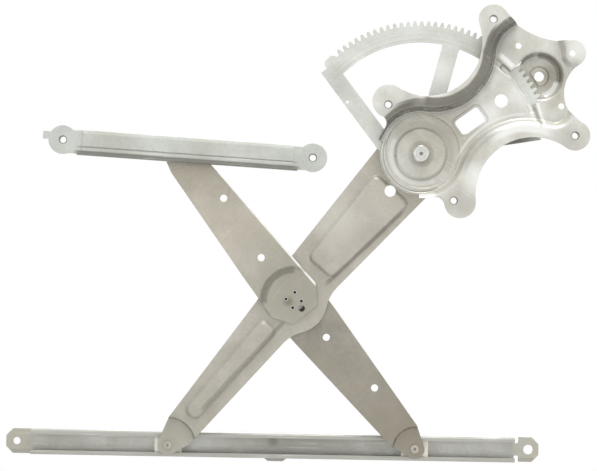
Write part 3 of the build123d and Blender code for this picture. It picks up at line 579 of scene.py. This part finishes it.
def base_plate_finish():
    """Bright zinc with brown and grey clouds of painted reflection, painted shade along the long wall and
    painted highlights along the low wall.
    """
    # painted reflections: brown and grey patches where the plate reflects darker, painted highlights on the
    # flanges, lugs and floor, and a little painted shade in the cup
    clouds = [
        Patch(from_pivot(18, 20), 46, UMBER, 0.55), Patch(from_pivot(-6, -16), 26, GREY, 0.35),
        Patch(from_pivot(102, 60), 28, UMBER, 0.7), Patch(from_pivot(34, -38), 26, GREY, 0.35),
        Patch(from_pivot(60, 92), 20, GREY, 0.45), Patch(from_pivot(-20, 30), 26, GREY, 0.4),
        Patch(from_pivot(45, -20), 18, PAINTED_HIGHLIGHT, 0.62), Patch(from_pivot(122, 84), 15, PAINTED_HIGHLIGHT, 0.6),
        Patch(from_pivot(54, 32), 16, PAINTED_HIGHLIGHT, 0.6), Patch(from_pivot(102, 66), 12, DIRT_AND_SHADE, 0.3),
        Patch(from_pivot(78, 50), 14, PAINTED_HIGHLIGHT, 0.4), Patch(from_pivot(8, 53), 20, PAINTED_HIGHLIGHT, 0.9),
        Patch(from_pivot(114, 14), 16, GREY, 0.35)]
    # painted shade: a grey line in the groove round the raised disc, and a dark ring round the pin head where
    # its shadow falls
    disc = [Mark(MAIN_PIVOT, 20.6, 21.8, GREY, 0.8), Mark(MAIN_PIVOT, 7.0, 10.5, DIRT_AND_SHADE, 0.35)]
    # painted shade along the long wall, on the upper left where it faces away from the light
    long_wall = [
        Arc(LONG_WALL_LEFT, 35.0, 42.6, 1.8, 102, 20, PAINTED_WALL_SHADE, 0.9),
        Arc(LONG_WALL_LEFT, 35.0, 40.2, 1.8, 147, 47, PAINTED_WALL_SHADE, 0.9),
        Arc(LONG_WALL_MIDDLE, 38.4, 46.8, 1.8, -49.5, 53, PAINTED_WALL_SHADE, 0.9),
        Arc(LONG_WALL_TOP, 28.0, 36.0, 1.8, 162, 24, PAINTED_WALL_SHADE, 0.9),
        Arc(LONG_WALL_TOP, 28.0, 34.0, 1.8, 137, 34, PAINTED_WALL_SHADE, 0.9)]
    # painted highlights along the low wall, with grey painted shade lines between them
    low_wall = [
        Arc(LOW_WALL, 46.0, 56.0, 3.0, 97, 30, PAINTED_HIGHLIGHT, 0.75),
        Arc(LOW_WALL, 50.5, 53.5, 1.5, 140, 26, GREY, 0.6),
        Arc(LOW_WALL, 54.6, 56.2, 0.8, 118, 46, GREY, 0.5),
        Arc(LOW_WALL, 60.0, 62.0, 1.2, 122, 34, PAINTED_HIGHLIGHT, 0.5)]
    # painted highlights and a painted shade line to the lower left of the pivot ring, grey painted shade to
    # its upper right
    pivot_ring = [
        Arc(MAIN_PIVOT, 31.8, 35.0, 1.5, 228, 62, PAINTED_HIGHLIGHT, 0.8),
        Arc(MAIN_PIVOT, 29.6, 30.8, 0.8, 228, 70, PAINTED_WALL_SHADE, 0.5),
        Arc(MAIN_PIVOT, 22.2, 25.5, 1.5, 225, 75, PAINTED_HIGHLIGHT, 0.35),
        Arc(MAIN_PIVOT, 22.2, 26.5, 1.5, 40, 75, GREY, 0.45)]
    # painted shade in a crescent on the pinion cup's upper right, a painted highlight on its lower right
    cup = [
        Arc(PINION_CUP, 15.0, 19.0, 1.8, 38, 55, PAINTED_WALL_SHADE, 0.75),
        Arc(PINION_CUP, 14.0, 18.0, 1.8, -45, 32, PAINTED_HIGHLIGHT, 0.8)]
    # painted highlights and brown painted shade lines beside the cup, standing for steps that the solid lacks
    dents = [
        Band(from_pivot(67.5, 75.5), -41, -1.8, 2.0, 1.0, 10, PAINTED_HIGHLIGHT, 0.85),
        Band(from_pivot(65.5, 71.5), -41, -1.0, 1.0, 0.9, 11, UMBER, 0.7),
        Band(from_pivot(63.0, 67.4), -36, -0.8, 0.8, 0.8, 11, PAINTED_HIGHLIGHT, 0.8),
        Band(from_pivot(92.0, 33.9), -71.5, -1.4, 1.4, 1.0, 13, UMBER, 0.7),
        Band(from_pivot(95.0, 34.5), -71.5, -1.2, 1.2, 0.9, 12, PAINTED_HIGHLIGHT, 0.85),
        Band(from_pivot(88.5, 33.0), -71.5, -1.0, 1.0, 0.9, 12, PAINTED_HIGHLIGHT, 0.7)]
    # lee: the band on the upper left, where walls face away from the light, keeps their painted shade; calm:
    # the disc round the pivot, where it is lighter
    return plated_sheet(
        "Bright zinc plate", (0.70, 0.70, 0.65), (0.56, 0.55, 0.49), warm=UMBER, warm_amount=0.35,
        clouds=32.0, shine=(0.3, 0.46), drawn=-35.0, walls=0.85, creases=0.9,
        lee=Band(MAIN_PIVOT, 40, 6, 90, 24), calm=Mark(MAIN_PIVOT, 0, 32.5, strength=0.6),
        paints=[*clouds, *disc, *long_wall, *low_wall, *pivot_ring, *cup, *dents])


def sector_finish():
    """Pale zinc, with painted shade behind the plate, a painted highlight, and rubbed in arcs by it."""
    return plated_sheet(
        "Pale zinc sector", (0.68, 0.70, 0.66), (0.57, 0.58, 0.53), clouds=30.0, warm_amount=0.2, drawn=40.0,
        paints=[
            # painted shade where the sector lies behind the plate, and a painted highlight above the pivot
            Patch(from_pivot(80, 8), 28, PAINTED_WALL_SHADE, 0.85), Patch(from_pivot(14, 67), 16, PAINTED_HIGHLIGHT, 0.5),
            Patch(from_pivot(-68, 58), 26, GREY, 0.35), Mark(MAIN_PIVOT, 91.2, 92.2, GREY, 0.35),
            Mark(MAIN_PIVOT, 95.4, 96.0, GREY, 0.35), Mark(MAIN_PIVOT, 98.4, 98.9, GREY, 0.3)])


def lift_arm_finish():
    """Warm zinc, with painted shade towards its lower end and a painted shade line beside each bead."""
    return plated_sheet(
        "Warm zinc arm", (0.485, 0.46, 0.405), (0.395, 0.372, 0.325), clouds=24.0, warm_amount=0.3,
        shine=(0.38, 0.55), drawn=130.0, walls=0.4, creases=0.5, paints=[
            # painted shade towards the lower end and round the centre joint, a lighter patch above, and a
            # painted shade line beside each bead
            Patch(LEFT_SHOE, 110, ARM_SHADE, 0.75), Patch(CENTRE_JOINT, 60, ARM_SHADE, 0.35),
            Patch(from_pivot(-66, -55), 30, PALE_ARM_TONE, 0.5),
            Band(from_pivot(-43.5, -76.0), 44.5, -1.5, 1.7, 1.6, 46, PAINTED_WALL_SHADE, 0.6),
            Band(from_pivot(-139.4, -172.2), 47.9, -1.5, 1.7, 1.6, 52, PAINTED_WALL_SHADE, 0.5)])


def upper_half_arm_finish():
    """Warm zinc with painted shade round the hub and on the joggle, and a painted highlight on one edge."""
    return plated_sheet(
        "Warm zinc upper half arm", (0.51, 0.48, 0.41), (0.43, 0.40, 0.335), clouds=22.0, shine=(0.38, 0.55),
        warm_amount=0.3, drawn=50.0, walls=0.45, paints=[
            # painted shade round the hub, a painted shadow just left of it, painted shade on the joggle to
            # the upper left, and a painted highlight along the upper right edge
            Patch(CENTRE_JOINT, 85, ARM_SHADE, 0.85), Patch(beside(CENTRE_JOINT, -4, -1), 6, DIRT_AND_SHADE, 0.6),
            Arc(CENTRE_JOINT, 21.5, 27.0, 2.0, 138, 50, PAINTED_WALL_SHADE, 0.65),
            Band(from_pivot(-121.6, -62.0), -48.2, -0.9, 3.0, 0.7, 62, PAINTED_HIGHLIGHT, 0.9)])


def lower_half_arm_finish():
    """The darkest of the arms."""
    return plated_sheet(
        "Warm zinc lower half arm", (0.325, 0.305, 0.258), (0.25, 0.235, 0.195), clouds=22.0,
        shine=(0.38, 0.55), warm_amount=0.3, drawn=50.0, walls=0.4,
        paints=[Patch(RIGHT_SHOE, 110, LOWER_ARM_SHADE, 0.85)])


def lift_rail_finish():
    """Grey zinc, drawn lengthwise, with darker lips and pads and one weld spot."""
    return plated_sheet(
        "Grey zinc rail", (0.55, 0.555, 0.52), (0.44, 0.44, 0.40), clouds=28.0, drawn_amount=0.6,
        walls=0.25, shine=(0.3, 0.46), paints=[
            Patch(on_lift_rail(-322), 22, RAIL_PAD_SHADE, 1.3),
            Patch(on_lift_rail(93), 20, RAIL_PAD_SHADE, 1.0),
            Patch(on_lift_rail(-90), 95, RAIL_MIDDLE_SHADE, 0.9),
            # the weld spot's own dark marks
            Patch(WELD_SPOT, 7, DIRT_AND_SHADE, 0.45),
            Mark(WELD_SPOT, 1.8, 2.8, DIRT_AND_SHADE, 0.4), Mark(WELD_SPOT, 0.0, 0.7, DIRT_AND_SHADE, 0.5),
            Band(LEFT_SHOE, 0, -12, -6.6, 1.0, 900, RAIL_FOOT_SHADE, 0.7),
            Front(27.0, RAIL_LIP_SHADE, 0.85)])


def guide_rail_finish():
    """Pale zinc, dark along its lower slope and its groove."""
    return plated_sheet(
        "Pale zinc rail", (0.56, 0.58, 0.54), (0.47, 0.485, 0.44), clouds=30.0, drawn=3.0, drawn_amount=0.5,
        walls=0.5, shine=(0.3, 0.46), paints=[
            Band(GUIDE_RAIL_MIDDLE, -GUIDE_TILT, -10.5, -6.4, 1.2, 92, CHANNEL_SHADE, 0.9),
            Band(GUIDE_RAIL_MIDDLE, -GUIDE_TILT, -4.4, -2.9, 0.9, 90, GROOVE_SHADE, 0.7)])


def pin_finish():
    """Turned steel with a centre mark and a faint ring."""
    return plated_sheet(
        "Turned steel", (0.76, 0.77, 0.75), (0.62, 0.62, 0.60), clouds=150.0, warm_amount=0.1,
        shine=(0.25, 0.38), metallic=0.8,
        paints=[Mark(MAIN_PIVOT, 0.0, 1.6, GREY, 0.8), Mark(MAIN_PIVOT, 3.6, 4.2, GREY, 0.5)])


def hub_finish():
    """Staked steel: four pits in the tenons painted near black as their shade, each with smeared metal round
    it.
    """
    circle = 6.2
    first_turn = -7
    pit = 1.15
    smear = 0.5
    marks = []
    for quarter in range(4):
        angle = math.radians(first_turn + 90 * quarter)
        tenon = beside(CENTRE_JOINT, circle * math.cos(angle), circle * math.sin(angle))
        # painted shade in each stake pit, and a ring of smeared metal round it
        marks += [Mark(tenon, 0.0, pit, PIT_SHADE, 1.6), Mark(tenon, pit, pit + smear, SMEARED_METAL, 0.5)]
    return plated_sheet(
        "Staked hub steel", (0.42, 0.41, 0.38), (0.28, 0.27, 0.25), clouds=200.0, metallic=0.7, paints=marks)


def stud_finish():
    """Riveted heads, each with a dark centre and a ring."""
    # a dark centre and a brown ring on each head
    paints = [Mark(shoe, 0.0, 1.1, DIRT_AND_SHADE, 0.9) for shoe in (LEFT_SHOE, RIGHT_SHOE)]
    paints += [Mark(shoe, 2.6, 3.7, UMBER, 0.5) for shoe in (LEFT_SHOE, RIGHT_SHOE)]
    return plated_sheet(
        "Riveted stud heads", (0.46, 0.44, 0.39), (0.36, 0.34, 0.30), clouds=180.0, metallic=0.6,
        paints=paints)


FINISHES = {
    "base_plate": base_plate_finish(),
    "sector_gear": sector_finish(),
    "lift_arm": lift_arm_finish(),
    "slave_arm_upper": upper_half_arm_finish(),
    "slave_arm_lower": lower_half_arm_finish(),
    "lift_rail": lift_rail_finish(),
    "guide_rail": guide_rail_finish(),
    "pin": pin_finish(),
    "hub": hub_finish(),
    "stud": stud_finish(),
    "nut": plated_sheet(
        "Plated nut", (0.30, 0.30, 0.28), (0.17, 0.165, 0.15), clouds=160.0, shine=(0.3, 0.45), metallic=0.7),
    "shoe": moulded("Natural nylon", (0.74, 0.72, 0.64), (0.66, 0.64, 0.56), shine=(0.5, 0.38)),
    "bush": moulded("Black acetal", (0.030, 0.030, 0.032), (0.022, 0.022, 0.022), shine=(0.45, 0.34)),
}
WEARERS = {
    "base_plate": ["base_plate"],
    "sector_gear": ["sector_gear"],
    "lift_arm": ["lift_arm"],
    "slave_arm_upper": ["slave_arm_upper"],
    "slave_arm_lower": ["slave_arm_lower"],
    "lift_rail": ["lift_rail", "lift_rail_bracket"],
    "guide_rail": ["guide_rail"],
    "pin": ["main_pivot_pin", "main_pivot_washer", "sector_rivets"],
    "hub": ["centre_hub"],
    "stud": ["left_shoe_stud", "right_shoe_stud", "guide_shoe_stud"],
    "nut": ["base_weld_nuts", "guide_rail_nuts", "left_shoe_clip", "right_shoe_clip", "guide_shoe_clip"],
    "shoe": ["left_shoe", "right_shoe", "guide_shoe"],
    "bush": ["main_pivot_bush", "centre_bush"],
}
for finish, wearers in WEARERS.items():
    for name in wearers:
        mesh = nodes[name].data
        mesh.materials.clear()
        mesh.materials.append(FINISHES[finish])


# ---- The guide rail's rolled face, which its solid leaves flat --------------------------------------------
PANEL_FROM, PANEL_TO = -72.0, 98.6    # along the rail, from the guide shoe
PANEL_SUNK = 0.15         # into the rail's web
PANEL_PROUD = 0.9
PANEL_PROFILE = [         # height above the shoe, and how far it stands proud
    (9.7, 0.0), (7.3, PANEL_PROUD), (-2.6, PANEL_PROUD), (-3.4, 0.15), (-4.2, 0.8), (-5.9, 0.8), (-7.4, 0.0)]
PANEL_END_SLOPE = 2.2     # how far the ends slope in, over the panel's height
PANEL_BEVEL = 0.35
BACK_FACE = 0.1           # edges proud by less than this stay sharp
LONG_EDGE = 50            # edges longer than this run along the rail


def front_of(name):
    """How near the cabin a node comes."""
    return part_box(name)[0][1]


def new_piece(name, shape, finish, body):
    """Makes an object of a shape, in a finish, and lets it ride on a body."""
    mesh = bpy.data.meshes.new(name)
    bmesh.ops.recalc_face_normals(shape, faces=shape.faces)
    shape.to_mesh(mesh)
    shape.free()
    mesh.materials.append(FINISHES[finish])
    piece = bpy.data.objects.new(name, mesh)
    bpy.context.scene.collection.objects.link(piece)
    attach(piece, body)


def runs_in_front(edge):
    first, second = (vertex.co for vertex in edge.verts)
    return abs(first.x - second.x) > LONG_EDGE * MM and first.y < -BACK_FACE * MM


def guide_rail_panel():
    """A flat with one groove, its sides and ends sloping away."""
    shape = bmesh.new()
    outline = [(PANEL_PROFILE[0][0], -PANEL_SUNK), *PANEL_PROFILE, (PANEL_PROFILE[-1][0], -PANEL_SUNK)]
    ring = [shape.verts.new((PANEL_FROM * MM, -proud * MM, height * MM)) for height, proud in outline]
    end = shape.faces.new(ring)
    grown = bmesh.ops.extrude_face_region(shape, geom=[end])["geom"]
    far = [vertex for vertex in grown if isinstance(vertex, bmesh.types.BMVert)]
    bmesh.ops.translate(shape, verts=far, vec=((PANEL_TO - PANEL_FROM) * MM, 0, 0))
    for vertex in shape.verts:
        if vertex.co.y < 0:
            inwards = -1 if vertex in far else 1
            vertex.co.x += inwards * PANEL_END_SLOPE * (-vertex.co.y / PANEL_PROUD)
    long_edges = [edge for edge in shape.edges if runs_in_front(edge)]
    bmesh.ops.bevel(shape, geom=long_edges, offset=PANEL_BEVEL * MM, segments=3, profile=0.5,
                    affect="EDGES", material=-1)
    tilt = Matrix.Rotation(math.radians(GUIDE_TILT), 3, "Y")
    bmesh.ops.rotate(shape, verts=shape.verts, cent=(0, 0, 0), matrix=tilt)
    bmesh.ops.translate(shape, verts=shape.verts, vec=(GUIDE_SHOE.x, front_of("guide_rail"), GUIDE_SHOE.z))
    new_piece("guide_rail_panel", shape, "guide_rail", "guide_rail")


guide_rail_panel()


# ---- Studio -----------------------------------------------------------------------------------------------
VIEW_CENTRE = Vector((-0.1375, 0.013, -0.1023))
VIEW_DISTANCE = 1.500
VIEW_WIDTH = 0.4786       # seen at the view centre
VIEW_ROLL = 1.01          # degrees
FLOOR_DROP = 0.10
FLOOR_RADIUS = 0.60
FLOOR_GREY = (0.86, 0.86, 0.86, 1)
LIGHT_FROM = Vector((0.22, -0.38, 0.90))
LIGHT_LEVEL = 0.66
LIGHT_LEAN = 0.85         # how much brighter the world is on the light's side, and darker opposite
DARKEST_GLOW = 0.04


def pale_floor():
    mesh = bpy.data.meshes.new("Floor")
    disc = bmesh.new()
    bmesh.ops.create_circle(disc, cap_ends=True, segments=96, radius=FLOOR_RADIUS)
    bmesh.ops.translate(disc, verts=disc.verts, vec=(VIEW_CENTRE.x, 0, cad_low.z - FLOOR_DROP))
    disc.to_mesh(mesh)
    disc.free()
    floor = bpy.data.objects.new("Floor", mesh)
    bpy.context.scene.collection.objects.link(floor)
    material, tree, shader = new_material("Pale floor")
    shader.inputs["Base Color"].default_value = FLOOR_GREY
    shader.inputs["Roughness"].default_value = 0.9
    mesh.materials.append(material)


def studio_world():
    """Soft light that comes mostly from one side; the camera and reflections see plain white."""
    world = bpy.data.worlds.new("White studio")
    bpy.context.scene.world = world
    world.use_nodes = True
    tree = world.node_tree
    background = tree.nodes["Background"]
    background.inputs["Color"].default_value = (1, 1, 1, 1)
    path = tree.nodes.new("ShaderNodeLightPath").outputs
    shown = calculate(tree, "MAXIMUM", path["Is Camera Ray"], path["Is Transmission Ray"])
    shown = calculate(tree, "MAXIMUM", shown, path["Is Glossy Ray"])
    direction = tree.nodes.new("ShaderNodeTexCoord").outputs["Generated"]
    facing = combine(tree, "DOT_PRODUCT", direction, LIGHT_FROM.normalized())
    glow = calculate(tree, "ADD", multiply(tree, facing, LIGHT_LEAN), LIGHT_LEVEL)
    glow = calculate(tree, "MAXIMUM", glow, DARKEST_GLOW)
    unseen = multiply(tree, calculate(tree, "SUBTRACT", 1.0, shown), glow)
    tree.links.new(calculate(tree, "ADD", shown, unseen), background.inputs["Strength"])


def soft_lamp(name, direction, distance, size, power):
    """A square lamp that faces the view centre. Metres and watts."""
    data = bpy.data.lights.new(name, "AREA")
    data.size = size
    data.energy = power
    lamp = bpy.data.objects.new(name, data)
    away = Vector(direction).normalized()
    lamp.location = VIEW_CENTRE + away * distance
    lamp.rotation_euler = away.to_track_quat("Z", "Y").to_euler()
    bpy.context.scene.collection.objects.link(lamp)


def camera():
    data = bpy.data.cameras.new("Camera")
    data.sensor_fit = "HORIZONTAL"
    data.sensor_width = 36.0
    data.lens = data.sensor_width * VIEW_DISTANCE / VIEW_WIDTH
    data.clip_start = 0.05
    made = bpy.data.objects.new("Camera", data)
    made.location = VIEW_CENTRE - Vector((0, VIEW_DISTANCE, 0))
    upright = Matrix.Rotation(math.radians(90), 4, "X") @ Matrix.Rotation(math.radians(VIEW_ROLL), 4, "Z")
    made.rotation_euler = upright.to_euler()
    bpy.context.scene.collection.objects.link(made)
    bpy.context.scene.camera = made


pale_floor()
studio_world()
soft_lamp("Key", direction=(0.15, -0.30, 1.1), distance=1.2, size=0.30, power=7)
soft_lamp("Rear", direction=(0.2, 1.4, 0.5), distance=1.8, size=1.2, power=8)
camera()
bpy.context.scene.view_settings.view_transform = "Standard"
